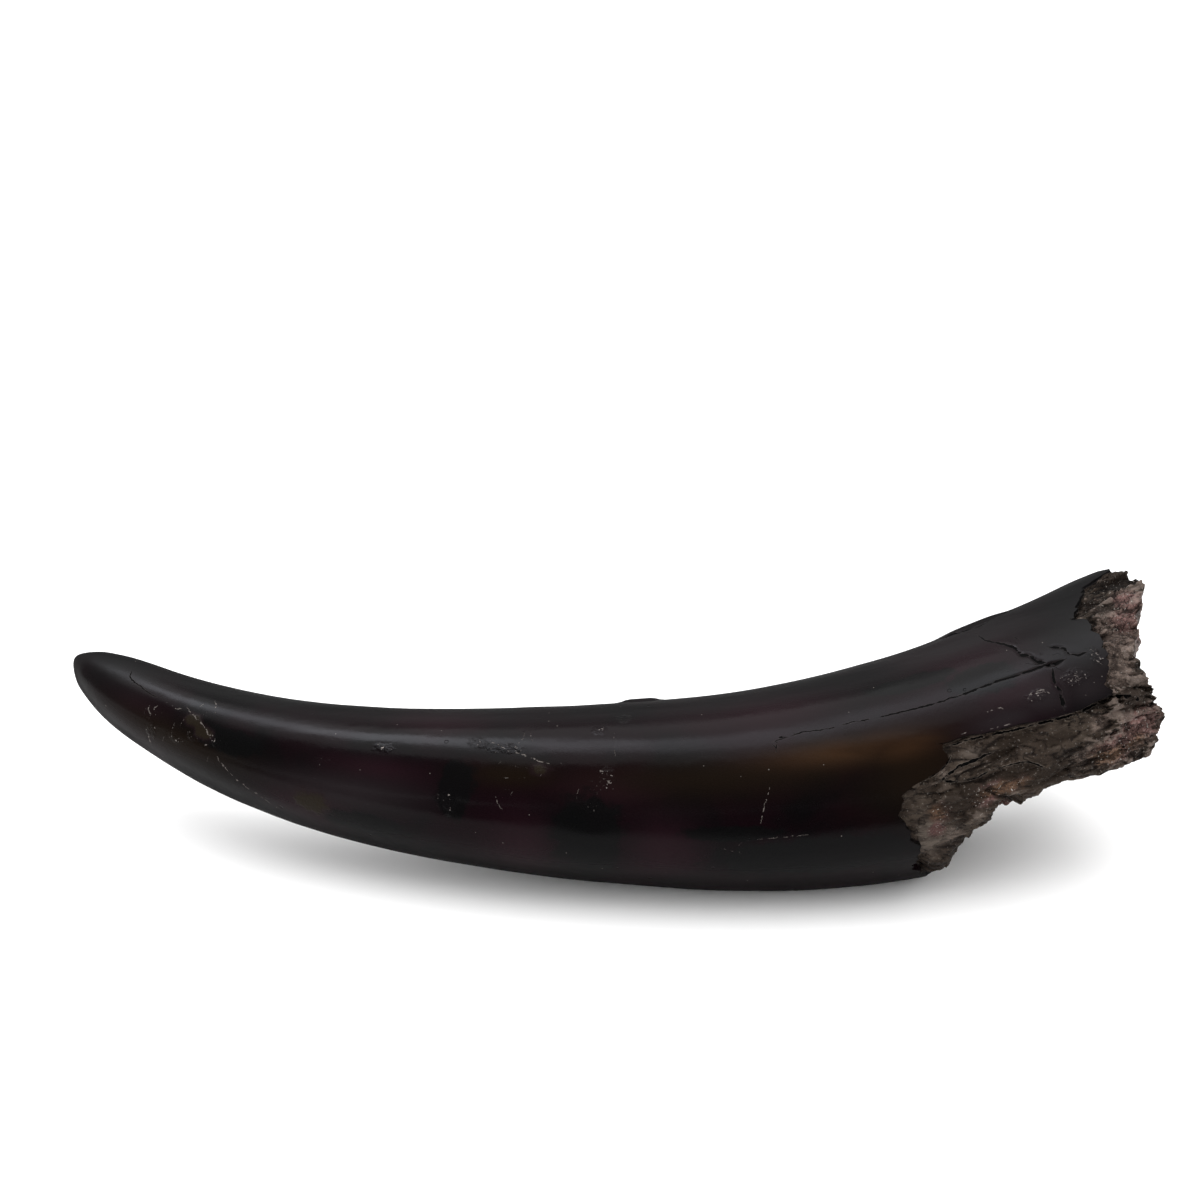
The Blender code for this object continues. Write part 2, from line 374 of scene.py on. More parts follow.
FLOOR_SIZE = 30.0
FLOOR_WHITE = (0.895, 0.895, 0.895, 1)
FLOOR_WHITER = (0.905, 0.905, 0.905, 1)
FLOOR_ROUGHNESS = 0.9
FLOOR_SPECULAR = 0.1

# Camera: lens and sensor in mm, its angle above the table, and how far its aim is
# moved up and to the side, in pixels of the picture.
SENSOR = 36.0
CAMERA_LENS = 78.0
CAMERA_ELEVATION = 25.0
CAMERA_DISTANCE = 1.135
AIM_HEIGHT = 0.0425
PICTURE_PIXELS = 1200
AIM_UP_PIXELS = 190
AIM_SIDE_PIXELS = 40

# ------------ marks
# Each line: points (distance in mm, angle), half width at its start and end in mm.
# Cracks, and shadow lines along the ledge and the layer steps, all painted black as shade.
CRACKS_AND_SHADOW_LINES = (
    (((329, 132), (343, 128.5), (354, 129), (363.5, 127.5), (373, 128), (392.5, 127.5), (411, 127),
      (429, 125.5), (443, 126), (452, 125.8)), 0.1, 0.46),
    (((437, 85.5), (437, 97.5), (439, 101), (442, 105.5), (445, 110.5), (445, 116.5), (448, 118),
      (449.5, 123), (452, 125)), 0.18, 0.85),
    (((450, 125.5), (455, 126.8), (461, 126.5)), 1, 0.25),
    (((457, 117), (463, 120.5), (463, 124.5), (466, 127), (471, 127)), 0.6, 0.35),
    (((453, 128), (450.5, 134), (450.5, 139), (450, 142.5), (449, 147)), 0.4, 0.75),
    (((424.1, 69.5), (431.2, 69), (438.3, 72), (439.9, 76)), 0.8, 1.6),
    (((439.9, 77.5), (446, 76), (454.1, 73)), 0.6, 0.2),
    (((475, 105.5), (477.5, 107), (480.6, 106.5)), 0.55, 0.7),
    (((448, 102.5), (449.5, 107)), 0.2, 0.2),
    (((330.8, 138), (331.8, 130.5), (336.8, 128)), 0.16, 0.22),
    # A crevice through the rim on the line of the ledge's shadow, painted dark as shade.
    (((468, 147), (473.5, 148.5), (479, 151.5), (482.5, 154.5)), 0.3, 1.1),
    # Painted shadow line under the overhang of the skin at the long ledge.
    (((400, 147.2), (411, 146.8), (433, 148.3), (455, 149.8), (466, 148.4)), 0.28, 0.48),
    (((35, 113), (37, 124), (40, 129), (44, 128.5), (51, 134.5), (57, 133)), 0.22, 0.15),
    # Lines along the layer steps: painted shade in the ledge valleys.
    (((393, 162), (396.6, 160), (402, 157), (410, 156), (414.4, 155), (418, 154.6)), 0.6, 0.45),
    (((395, 162.3), (401, 164.3), (408, 164.8), (414.5, 162.8)), 0.4, 0.45),
    (((414.5, 162.8), (422.5, 162.3), (429, 162.8), (432.7, 164.8), (437, 169)), 0.3, 0.25),
    (((388, 160), (392, 158), (398, 154), (401.5, 150)), 0.2, 0.3),
    (((395, 250), (350, 256), (300, 251), (262, 254)), 0.45, 0.1),
    (((505, 15), (470, 17), (420, 12), (372, 16)), 0.6, 0.1),
    (((500, 44), (484, 41), (470, 36), (462, 28)), 0.5, 0.2),
)
CRACK_REACH = 4.0

SCRATCHES = (
    (((327, 152.5), (324.8, 159.5), (322.8, 169), (321.2, 173.5)), 0.16, 0.14),
    (((316, 179.8), (328, 178.5), (342, 177.8)), 0.09, 0.08),
    (((306, 184), (312.1, 186), (316.5, 187.5)), 0.12, 0.1),
    (((94, 165.5), (103.8, 179.5), (112, 188), (124, 199)), 0.2, 0.1),
    (((61, 135.5), (66, 137), (71, 138.5)), 0.22, 0.15),
    (((82, 112), (85, 120.5), (88, 131)), 0.32, 0.22),
    (((51.9, 146), (55.5, 151), (58, 156)), 0.3, 0.2),
    (((58, 170.5), (59.6, 185), (61.6, 191.5)), 0.26, 0.16),
    (((70.2, 150.5), (70.8, 160), (71.3, 171.5)), 0.16, 0.2),
    (((71.8, 131.5), (79.4, 140), (84, 143), (87.6, 149), (91.6, 154.5)), 0.2, 0.3),
    (((91.6, 152), (89, 160), (86.5, 165.5)), 0.26, 0.16),
    (((211, 121.5), (216.4, 125.5), (219.9, 128), (224, 131.5), (229, 134),
      (233.2, 135.5)), 0.16, 0.24),
    (((229, 133.8), (237.2, 138.5), (243.8, 140.5), (247, 139)), 0.3, 0.16),
    (((218, 148.5), (229.6, 148.5), (237, 148.8)), 0.1, 0.1),
    (((218.9, 156), (220.9, 161.5), (224, 169)), 0.16, 0.1),
    (((260.1, 142), (262.7, 145.5), (264.7, 149.5), (266.8, 153)), 0.28, 0.18),
    (((263, 143.5), (260, 147), (265.5, 148)), 0.16, 0.14),
    (((270.5, 162), (271.2, 169)), 0.2, 0.14),
    (((266, 118), (266.4, 128), (266.8, 136)), 0.1, 0.12),
    (((231.6, 115.5), (233.2, 127.5)), 0.12, 0.1),
    (((254, 150), (252, 160)), 0.08, 0.08),
    (((472.2, 126.5), (473.5, 129), (475, 131)), 0.4, 0.3),
    (((471, 130.5), (472.2, 133), (473.5, 135)), 0.36, 0.26),
    (((469, 128), (470.5, 130)), 0.3, 0.2),
    (((454.6, 133), (459.7, 134.6), (464.3, 136)), 0.3, 0.3),
    (((455, 137), (458, 136), (461, 137.8)), 0.32, 0.24),
    (((459, 132.5), (462, 134)), 0.24, 0.2),
    (((449.5, 135), (450.5, 137.5), (451.6, 139.5)), 0.3, 0.2),
    (((436, 138.5), (437.3, 136.5), (440.9, 135.2), (444.9, 136.2), (447, 139)), 0.22, 0.26),
    (((441, 139), (444, 138)), 0.2, 0.16),
    (((418, 138), (424.6, 137.5), (427.6, 140.5)), 0.16, 0.2),
    (((404.7, 143.8), (416.9, 144.8), (427.1, 145.6)), 0.12, 0.14),
)
SCRATCH_REACH = 7.0
LINE_TAPER = 2.5
FAR_FROM_LINES = 9.0
MEAN_RADIUS_RATIO = 1.08

# Past this distance the wide cracks are carved too. Half widths and slope in mm.
CARVED_START = 0.38
CARVED_DEPTH = 0.0009
CARVED_FROM = (0.30, 0.70)
CARVED_SLOPE = 0.15

# Spots of each colour or finish, in the bare dentine and in the skin. In the dentine the lighter
# spots are partly painted highlight and the dark spots are painted shadow.
DENTINE_SPOTS = {
    "red": (
        (393, 179, 5, 7), (392, 190, 4, 6), (419, 172.5, 13, 5), (411, 176, 6, 6),
        (469, 173, 13, 9), (481, 166, 11, 11), (497, 118, 8, 8), (505, 107, 7, 9),
        (430, 215, 20, 20),
    ),
    "tan": ((389, 179.5, 5.5, 6), (420.5, 173.5, 11, 4.5), (464, 176, 12, 6.5), (479, 175, 6, 5)),
    # Lighter spots, partly painted highlight where facets catch the light.
    "pale_and_lit": (
        (507, 106, 6, 9), (494, 119, 12, 11), (488, 127, 10, 8), (478, 138.5, 9, 7),
        (464, 156.5, 5, 4), (483, 169, 11, 9), (472, 176, 11, 7), (455, 169.5, 6, 4),
        (399, 198, 4, 8), (408, 152.5, 5, 2.5), (394, 157, 3, 3), (389, 197, 7, 17),
    ),
    # Dark spots: painted shadow in the dentine.
    "dark": (
        (402, 174.5, 10.5, 8.5), (481, 152.5, 8, 6.5), (492, 108, 6, 4), (426, 152, 9, 3),
        (445, 157, 8, 3), (427, 166.5, 10, 4.5), (439, 174, 10, 6), (421, 157, 6, 4),
        (517, 84, 8, 9), (489, 99, 5, 5),
    ),
}
SKIN_SPOTS = {
    "warm": ((360, 141, 31, 6), (382, 144, 14, 5)),
    "earthy": ((385, 156, 25, 18), (310, 148, 60, 10), (226, 146.5, 20, 8), (70, 168, 40, 18)),
    "purple": (
        (425, 100, 30, 34), (435, 134, 26, 9), (330, 112, 35, 18), (190, 105, 25, 16),
        (231, 192, 13, 26), (286, 188, 15, 24), (140, 186, 20, 18), (265, 152, 20, 9),
        (170, 150, 22, 10), (48, 155, 12, 18),
    ),
    "worn": (
        (430, 92, 30, 9), (160, 167, 33, 12), (424, 143, 16, 4.5), (445, 140, 13, 6),
        (463, 141.5, 10, 6),
    ),
    "black": (
        (204, 157, 8.5, 24), (257, 180, 15, 28), (99, 151, 19, 13), (312, 176, 22, 5),
        (345, 192, 45, 14), (165, 192, 20, 12), (395, 112, 22, 6), (424, 122, 18, 9),
    ),
    "dull": ((485, 105, 33, 40), (460, 50, 60, 40), (30, 100, 30, 60)),
    "brown": ((78.5, 143, 5, 8), (86, 151, 4.8, 8), (141.5, 183, 8.5, 13), (238.5, 143, 3.5, 4.5)),
    "pitted": (
        (91.5, 153, 3, 7), (56, 152, 3.5, 8), (60, 172, 3, 10), (201, 166, 3.5, 9),
        (264, 148, 3.5, 7), (222, 130, 7, 4), (260, 117, 3, 4), (257.5, 163.5, 2.5, 3.5),
        (82, 158, 3, 5), (74, 167, 3, 5), (270, 106, 3, 5), (209, 126, 2.5, 6), (147, 149, 4, 4),
        (171, 134, 4, 4), (459, 135.5, 6.5, 4), (472.5, 130, 3, 5), (441, 137.5, 5.5, 3),
    ),
}


def smooth_through(points, at):
    """Smooth curve through a few points (monotone cubic)."""
    xs = np.array([p[0] for p in points])
    ys = np.array([p[1] for p in points])
    steps = np.diff(xs)
    slopes = np.diff(ys) / steps
    tangents = np.concatenate((slopes[:1], (slopes[:-1] + slopes[1:]) / 2, slopes[-1:]))
    turning = slopes[:-1] * slopes[1:] <= 0
    tangents[1:-1][turning] = 0
    at = np.clip(at, xs[0], xs[-1])
    cell = np.clip(np.searchsorted(xs, at) - 1, 0, len(steps) - 1)
    width = steps[cell]
    t = (at - xs[cell]) / width
    start = (1 + 2 * t) * (1 - t) ** 2 * ys[cell] + t * (1 - t) ** 2 * width * tangents[cell]
    end = t * t * (3 - 2 * t) * ys[cell + 1] + t * t * (t - 1) * width * tangents[cell + 1]
    return start + end


def around(points, angles):
    """Smooth closed curve of a distance against the angle round the tusk."""
    first, last = points[0], points[-1]
    closed = ((last[0] - 360, last[1]),) + tuple(points) + ((first[0] + 360, first[1]),)
    return smooth_through(closed, angles)


def rise(value, low, high):
    """0 below low, 1 above high, smooth between."""
    t = np.clip((value - low) / (high - low), 0, 1)
    return t * t * (3 - 2 * t)


def spots(table, distance, angles):
    """Soft spots: 1 in the middle of each, falling to 0."""
    total = np.zeros_like(distance)
    for middle, angle, along, across in table:
        away = ((distance / MM - middle) / along) ** 2 + ((angles - angle) / across) ** 2
        total = np.maximum(total, np.exp(-away))
    return total


def patch(spot, steepness, distance, angles):
    """1 all over a spot, then 0; a higher steepness ends it more abruptly along."""
    middle, angle, along, across = spot
    lengthwise = np.exp(-((distance / MM - middle) / along) ** steepness)
    return lengthwise * np.exp(-((angles - angle) / across) ** 4)


# ------------ noise
def lattice(cells, seed):
    """A fixed value between 0 and 1 for each whole-number cell."""
    mixed = cells.astype(np.int64).astype(np.uint64)
    key = mixed[..., 0] * np.uint64(73856093)
    key = key ^ (mixed[..., 1] * np.uint64(19349663))
    key = key ^ (mixed[..., 2] * np.uint64(83492791))
    key = key + np.uint64(seed * 2654435761)
    key = (key ^ (key >> np.uint64(31))) * np.uint64(0x9E3779B97F4A7C15)
    key = (key ^ (key >> np.uint64(29))) * np.uint64(0xBF58476D1CE4E5B9)
    key = key ^ (key >> np.uint64(32))
    return (key >> np.uint64(40)).astype(np.float64) / float(1 << 24)


def soft_noise(points, per_metre, seed):
    """Smooth noise between -1 and 1."""
    scaled = points * per_metre
    base = np.floor(scaled)
    part = scaled - base
    part = part * part * part * (part * (part * 6 - 15) + 10)
    total = np.zeros(points.shape[:-1])
    for corner in range(8):
        step = np.array([(corner >> axis) & 1 for axis in range(3)])
        weight = np.prod(np.where(step, part, 1 - part), axis=-1)
        total += weight * lattice(base + step, seed)
    return total * 2 - 1


def layered_noise(points, per_metre, seed, layers=3):
    """Several sizes of smooth noise added together."""
    total = np.zeros(points.shape[:-1])
    for k in range(layers):
        finer = per_metre * NOISE_FINER ** k
        total += soft_noise(points, finer, seed + k) * NOISE_WEAKER ** k
    return total


def chipped(points, per_metre, seed):
    """Broken chips: a tilted flat for each, and 0 to 1 from its edge inward."""
    scaled = points * per_metre
    base = np.floor(scaled)
    nearest = np.full(points.shape[:-1], np.inf)
    second = nearest.copy()
    height = np.zeros(points.shape[:-1])
    for corner in range(27):
        step = np.array((corner % 3 - 1, corner // 3 % 3 - 1, corner // 9 - 1))
        cell = base + step
        home = cell + np.stack([lattice(cell, seed + k) for k in range(3)], axis=-1)
        apart = scaled - home
        away = np.sqrt(np.sum(apart * apart, axis=-1))
        closer = away < nearest
        slope = np.stack([lattice(cell, seed + 3 + k) * 2 - 1 for k in range(3)], axis=-1)
        level = lattice(cell, seed + 6) * 2 - 1 + CHIP_TILT * np.sum(apart * slope, axis=-1)
        height = np.where(closer, level, height)
        second = np.minimum(second, np.where(closer, nearest, away))
        nearest = np.where(closer, away, nearest)
    return height, np.clip((second - nearest) / CHIP_RIM, 0, 1)


def wobble(angles, per_turn, seed):
    """Noise round the tusk that closes on itself."""
    turn = np.radians(angles)
    circle = np.stack((np.cos(turn), np.sin(turn), np.zeros_like(turn)), axis=-1)
    return layered_noise(circle * per_turn + seed, 1.0, seed)


def ragged(outline, raggedness, angles):
    """Broken edge: a smooth outline round the tusk with uneven noise on it."""
    edge = around(outline, angles)
    for amount, per_turn, seed in raggedness:
        edge = edge + amount * wobble(angles, per_turn, seed)
    return edge


# ------------ spine
def spine():
    """Points along the spine with their distance from the tip."""
    x = np.linspace(TIP_X, ROOT_X, SPINE_SAMPLES)
    y = BOW_PER_METRE * (x - BOW_CENTRE_X) ** 2
    to_tip = np.clip((TIP_LIFT_START_X - x) / (TIP_LIFT_START_X - TIP_X), 0, None)
    to_root = np.clip((x - ROOT_LIFT_START_X) / (ROOT_X - ROOT_LIFT_START_X), 0, None)
    z = BELLY_AXIS_HEIGHT + TIP_LIFT * to_tip ** TIP_LIFT_POWER
    z = z + ROOT_LIFT * to_root ** ROOT_LIFT_POWER
    points = np.stack((x, y, z), axis=1)
    lengths = np.linalg.norm(np.diff(points, axis=0), axis=1)
    return points, np.concatenate(((0.0,), np.cumsum(lengths)))


def on_spine(distance, along, values):
    """Vectors known along the spine, read at other distances."""
    return np.stack([np.interp(distance, along, values[:, i]) for i in range(3)], axis=-1)


def spine_point(distance):
    """Point on the spine at a distance from the tip."""
    points, along = spine()
    return on_spine(distance, along, points)


def spine_sides(distance):
    """Directions across the spine, to the back and upward."""
    points, along = spine()
    slope = np.gradient(points, axis=0)
    slope /= np.linalg.norm(slope, axis=1, keepdims=True)
    ahead = on_spine(distance, along, slope)
    back = np.cross((0.0, 0.0, 1.0), ahead)
    back /= np.linalg.norm(back, axis=-1, keepdims=True)
    return back, np.cross(ahead, back)


def whole_radius(angles, distance):
    """Distance from the spine to the unbroken skin."""
    rounding = np.clip(distance / TIP_ROUNDING, 0, 1)
    height = smooth_through(HALF_HEIGHTS, distance) * np.sqrt(1 - (1 - rounding) ** 2)
    turn = np.radians(angles + OVAL_DIP)
    return height / np.sqrt((np.cos(turn) / WIDTH_RATIO) ** 2 + np.sin(turn) ** 2)


def surface_point(angles, distance, radius):
    """Points at an angle, a distance along the spine and a radius."""
    back, upward = spine_sides(distance)
    turn = np.radians(angles)[..., None]
    outward = np.cos(turn) * back + np.sin(turn) * upward
    return spine_point(distance) + radius[..., None] * outward


# ------------ grid
def column_angles():
    """Angle of each column, closer together where there is more to show."""
    fine = np.linspace(0, 360, ANGLE_SAMPLES)
    density = np.ones_like(fine)
    for centre, width, gain in COLUMN_CROWDS:
        density += gain * np.exp(-((fine - centre) / width) ** 2)
    count = np.concatenate(((0,), np.cumsum(density[:-1])))
    return np.interp(np.arange(COLUMNS) * count[-1] / COLUMNS, count, fine)


def skin_rows():
    """Distance of each row of the skin, closer together where there is more to show."""
    fine = np.linspace(0, LAST_FULL_RING, LENGTH_SAMPLES)
    places, gaps = np.transpose(ROW_SPACING)
    spacing = np.interp(fine, places, gaps)
    count = np.concatenate(((0,), np.cumsum(np.diff(fine) / spacing[:-1])))
    rows = int(count[-1])
    return np.interp(np.linspace(0, count[-1], rows + 1)[1:], count, fine)


def ledge_angle(distance):
    """Angle of the long ledge at a distance from the tip."""
    point = np.stack((distance, distance * 0, distance * 0), axis=-1)
    wander = LEDGE_WANDER * layered_noise(point, LEDGE_WAVES, seed=61)
    return smooth_through(LEDGE_PATH, distance) + wander


def grid():
    """Angle, distance, bareness and spalled columns for every row."""
    even = column_angles()
    front = int(np.argmin(abs(even - FRONT_LEDGE)))
    back = int(np.argmin(abs(even - BACK_LEDGE)))
    column = np.arange(COLUMNS)
    spalled = (column > front) & (column < back)

    last_skin = np.where(spalled, ragged(SPALL_START, SPALL_RAGGED, even), LAST_FULL_RING)
    rim = ragged(RIM_END, RIM_RAGGED, even)
    skin_end = ragged(SKIN_END, SKIN_RAGGED, even)
    band = np.where(spalled, rim - BAND_LENGTH, np.minimum(skin_end, rim - BAND_LEAST))

    distance, bare = [], []
    for row in skin_rows():
        bend = (row / LAST_FULL_RING) ** EDGE_BLEND_POWER
        distance.append(row + (last_skin - LAST_FULL_RING) * bend)
        bare.append(np.zeros(COLUMNS))
    for share in np.linspace(0, 1, ROOT_ROWS):
        distance.append(last_skin + EDGE_GAP + (band - last_skin - EDGE_GAP) * share)
        bare.append(np.where(spalled, 1.0, 0.0))
    for share in np.linspace(0, 1, BAND_ROWS):
        distance.append(band + EDGE_GAP + (rim - band - EDGE_GAP) * share)
        bare.append(np.ones(COLUMNS))
    distance = np.array(distance)

    pull = np.exp(-((even - even[front]) / LEDGE_REACH) ** 2) * rise(distance, *LEDGE_FADE)
    angles = even + (ledge_angle(distance) - even[front]) * pull
    return angles, distance, np.array(bare), np.broadcast_to(spalled, distance.shape)


# ------------ surface
def dentine_relief(plain, angles, distance, spalled):
    """Height of the chipped dentine, the gaps between its chips, and its grain."""
    stretched = plain * CHIP_STRETCH
    warped = stretched + CHIP_BEND * soft_noise(stretched, CHIP_BENDS, seed=31)[..., None]
    coarse, coarse_edge = chipped(warped, COARSE_CHIPS, seed=41)
    medium, medium_edge = chipped(warped * MEDIUM_STRETCH, MEDIUM_CHIPS, seed=51)
    splinters = layered_noise(stretched, SPLINTERS, seed=61)
    grains = layered_noise(plain, GRAINS, seed=91, layers=2)

    at_end = rise(distance, *GRAINY_FROM) * rise(angles, *GRAINY_TOP)
    at_end = at_end * (1 - rise(angles, *GRAINY_BOTTOM))
    at_end = np.where(spalled, at_end, 1.0)
    calm = spots(CALM_SPOTS, distance, angles)

    gaps = COARSE_GAP_SHARE * (1 - rise(coarse_edge, 0.0, COARSE_GAP))
    gaps = gaps + MEDIUM_GAP_SHARE * (1 - rise(medium_edge, 0.0, MEDIUM_GAP))
    chip_height = CHIP_HEIGHT * (1 + at_end) * (1 - CALMED_CHIPS * calm)
    relief = chip_height * (coarse + MEDIUM_SHARE * medium)
    relief = relief - GAP_DEPTH * gaps * (1 - CALMED_GAPS * calm)
    relief = relief + SPLINTER_HEIGHT * splinters * (1 - CALMED_SPLINTERS * calm)
    relief = relief + GRAIN_HEIGHT * at_end * grains
    grainy = LEAST_GRAIN + (1 - LEAST_GRAIN) * at_end - CALMED_GRAIN * calm
    return relief, gaps, np.clip(grainy, 0, 1)


def dentine_loss(plain, angles, distance):
    """Depth of skin and dentine split off in front and below."""
    past = np.clip(distance - around(SPALL_START, angles), 0, None)
    deepest = SKIN_THICKNESS + SPALL_DEPTH + SPALL_DEEPENING * past
    first = FIRST_LAYER + FIRST_DEEPENING * past
    wander = LAYER_WANDER * layered_noise(plain * CHIP_STRETCH, LAYER_WAVES, seed=71)
    gone = np.zeros_like(distance)
    for path, share in LAYERS:
        edge = smooth_through(path, distance) + wander
        gone = gone + share * rise(angles, edge, edge + LAYER_EDGE)
    kept = STUB_SHARE * patch(STUB, 4, distance, angles)
    return (first + (deepest - first) * gone) * (1 - kept)


def skin_height(plain, angles, distance):
    """Waves and dents in the skin, the flake on the back and the lifted stretch."""
    height = SKIN_WAVE_HEIGHT * layered_noise(plain, SKIN_WAVES, seed=81, layers=2)
    height = height + FLAKE_HEIGHT * patch(FLAKE, 6, distance, angles)
    for *dent, depth in DENTS:
        height = height - depth * MM * spots((dent,), distance, angles)
    lifted = np.exp(-((distance - LIFTED_MIDDLE) / LIFTED_HALF) ** 4)
    lifted = lifted * rise(angles, *LIFTED_BACK) * (1 - rise(angles, *LIFTED_FRONT))
    return height + LIFTED_HEIGHT * lifted


def body_surface():
    """Points of all the rows, their places, and what the material has to know."""
    angles, distance, bare, spalled = grid()
    whole = whole_radius(angles, distance)
    plain = surface_point(angles, distance, whole)
    relief, gaps, grainy = dentine_relief(plain, angles, distance, spalled)
    loss = np.where(spalled, dentine_loss(plain, angles, distance), BAND_LOSS)
    radius = whole - bare * (loss - relief)

    facing = np.cos(np.radians(angles - MISSING_ANGLE))
    face = smooth_through(MISSING_FACE, distance) + MISSING_ROUGHNESS * relief
    cut = face / np.clip(facing, LEAST_FACING, None)
    radius = np.where((bare > 0) & spalled, np.minimum(radius, cut), radius)
    radius = radius + (1 - bare) * skin_height(plain, angles, distance)

    points = surface_point(angles, distance, radius)
    grainy = grainy * bare
    contrast = 1 + HOLLOW_CONTRAST * grainy
    hollow = HOLLOW_LEVEL + contrast * (relief / HOLLOW_RELIEF - HOLLOW_GAPS * gaps)
    return points, angles, distance, bare, np.clip(hollow, 0, 1) * bare, grainy


def end_surface(rim_points, angles):
    """Rings closing the broken end, how high their chips are, and the middle point."""
    middle = spine_point(np.array((END_MIDDLE,)))
    spine_points, _ = spine()
    ahead = spine_points[-1] - spine_points[-2]
    ahead /= np.linalg.norm(ahead)
    turn = np.radians(angles)
    rings, hollows = [], []
    for share in np.linspace(1, 0, CAP_RINGS + 2)[1:]:
        across = share * np.cos(turn)
        up = share * np.sin(turn)
        lumps = np.sin(LUMPS_ACROSS * across + LUMPS_SKEW * up)
        lumps = lumps * np.cos(LUMPS_UP * up - LUMPS_SKEW * across)
        ring = middle + (rim_points - middle) * share
        coarse, coarse_edge = chipped(ring, END_COARSE_CHIPS, seed=91)
        medium, medium_edge = chipped(ring, END_MEDIUM_CHIPS, seed=101)
        gaps = 1 - rise(coarse_edge, 0.0, COARSE_GAP)
        gaps = gaps + END_MEDIUM_SHARE * (1 - rise(medium_edge, 0.0, MEDIUM_GAP))
        chips = END_CHIP_HEIGHT * (coarse + END_MEDIUM_SHARE * medium) - END_GAP_DEPTH * gaps
        chips = chips + END_GRAIN_HEIGHT * layered_noise(ring, END_GRAINS, seed=111)
        height = LUMP_HEIGHT * lumps * (1 - share ** LUMP_FADE) + chips * (1 - share ** CHIP_FADE)
        rings.append(ring + height[:, None] * ahead)
        hollow = END_HOLLOW_LEVEL + chips / END_HOLLOW_RELIEF - END_HOLLOW_GAPS * gaps
        hollows.append(np.clip(hollow, 0, 1))
    return np.array(rings[:-1]), np.array(hollows[:-1]), rings[-1][0]


# ------------ lines
def unrolled(distance, angles):
    """Flat map of the surface in mm: along the tusk and round it."""
    radius = smooth_through(HALF_HEIGHTS, distance) * MEAN_RADIUS_RATIO
    return np.stack((distance, np.radians(angles) * radius), axis=-1) / MM


def lines(table, reach, distance, angles):
    """Sideways place and half width of the nearest line in mm, and 1 near a line."""
    flat = unrolled(distance, angles)
    nearest = np.full(distance.shape, np.inf)
    side = np.zeros(distance.shape)
    half = np.zeros(distance.shape)
    for points, start_width, end_width in table:
        ends = np.array(points)
        path = unrolled(ends[:, 0] * MM, ends[:, 1])
        lengths = np.linalg.norm(np.diff(path, axis=0), axis=1)
        before = np.concatenate(((0,), np.cumsum(lengths)))
        total = before[-1]
        for k, length in enumerate(lengths):
            run = (path[k + 1] - path[k]) / length
            apart = flat - path[k]
            along = apart @ run
            inside = np.clip(along, 0, length)
            away = np.linalg.norm(apart - inside[..., None] * run, axis=-1)
            sideways = apart[..., 1] * run[0] - apart[..., 0] * run[1]
            past_start = (k == 0) & (along < 0)
            past_end = (k == len(lengths) - 1) & (along > length)
            beyond = past_start | past_end
            travelled = before[k] + np.where(beyond, along, inside)
            share = np.clip(travelled / total, 0, 1)
            to_end = np.minimum(travelled, total - travelled)
            width = start_width + (end_width - start_width) * share
            width = width * np.clip(to_end / LINE_TAPER, -1, 1)
            closer = away < nearest
            nearest = np.where(closer, away, nearest)
            side = np.where(closer, np.where(beyond, sideways, np.sign(sideways) * away), side)
            half = np.where(closer, width, half)
    return side, half, (nearest < reach).astype(float)


def carved(side, half, near):
    """Depth in metres that the wide cracks cut into the surface."""
    half = np.clip(half, 0, None)
    depth = CARVED_DEPTH * rise(half, *CARVED_FROM)
    return near * depth * np.exp(-(side / (half + CARVED_SLOPE)) ** 2)


# ------------ the piece
def placed(name, data):
    """A new object in the scene."""
    thing = bpy.data.objects.new(name, data)
    bpy.context.scene.collection.objects.link(thing)
    return thing


def patch_masks(distance, angles, bare):
    """How strong each kind of patch is on the rows."""
    masks = {}
    for name, table in DENTINE_SPOTS.items():
        masks[name] = spots(table, distance, angles) * bare
    for name, table in SKIN_SPOTS.items():
        masks[name] = spots(table, distance, angles) * (1 - bare)
    return masks


def line_masks(distance, angles):
    """Where the cracks and scratches run on the rows."""
    masks = {}
    for name, table, reach in (
        ("crack", CRACKS_AND_SHADOW_LINES, CRACK_REACH),
        ("scratch", SCRATCHES, SCRATCH_REACH),
    ):
        side, half, near = lines(table, reach, distance, angles)
        masks[name + "_side"] = side
        masks[name + "_half"] = half
        masks[name + "_near"] = near
    return masks


def end_masks(rings, hollows):
    """The masks that aren't 0 on the broken end; no line is near there."""
    one = np.ones_like(hollows)
    masks = {"bare": one, "grainy": one, "hollow": hollows}
    masks["pale_and_lit"] = END_PALE_AND_LIT * one
    masks["red"] = END_RED + (1 - END_RED) * soft_noise(rings, END_RED_PATCHES, seed=121)
    for name in ("crack_side", "crack_half", "scratch_side", "scratch_half"):
        masks[name] = FAR_FROM_LINES * one
    return masks


def tusk_faces(rows):
    """Faces joining the tip, all the rows and the middle of the broken end."""
    last = 1 + (rows - 1) * COLUMNS
    end = last + COLUMNS
    faces = []
    for i in range(COLUMNS):
        j = (i + 1) % COLUMNS
        faces.append((0, 1 + j, 1 + i))
        for near in range(1, last, COLUMNS):
            far = near + COLUMNS
            faces.append((near + i, near + j, far + j, far + i))
        faces.append((last + i, last + j, end))
    return faces


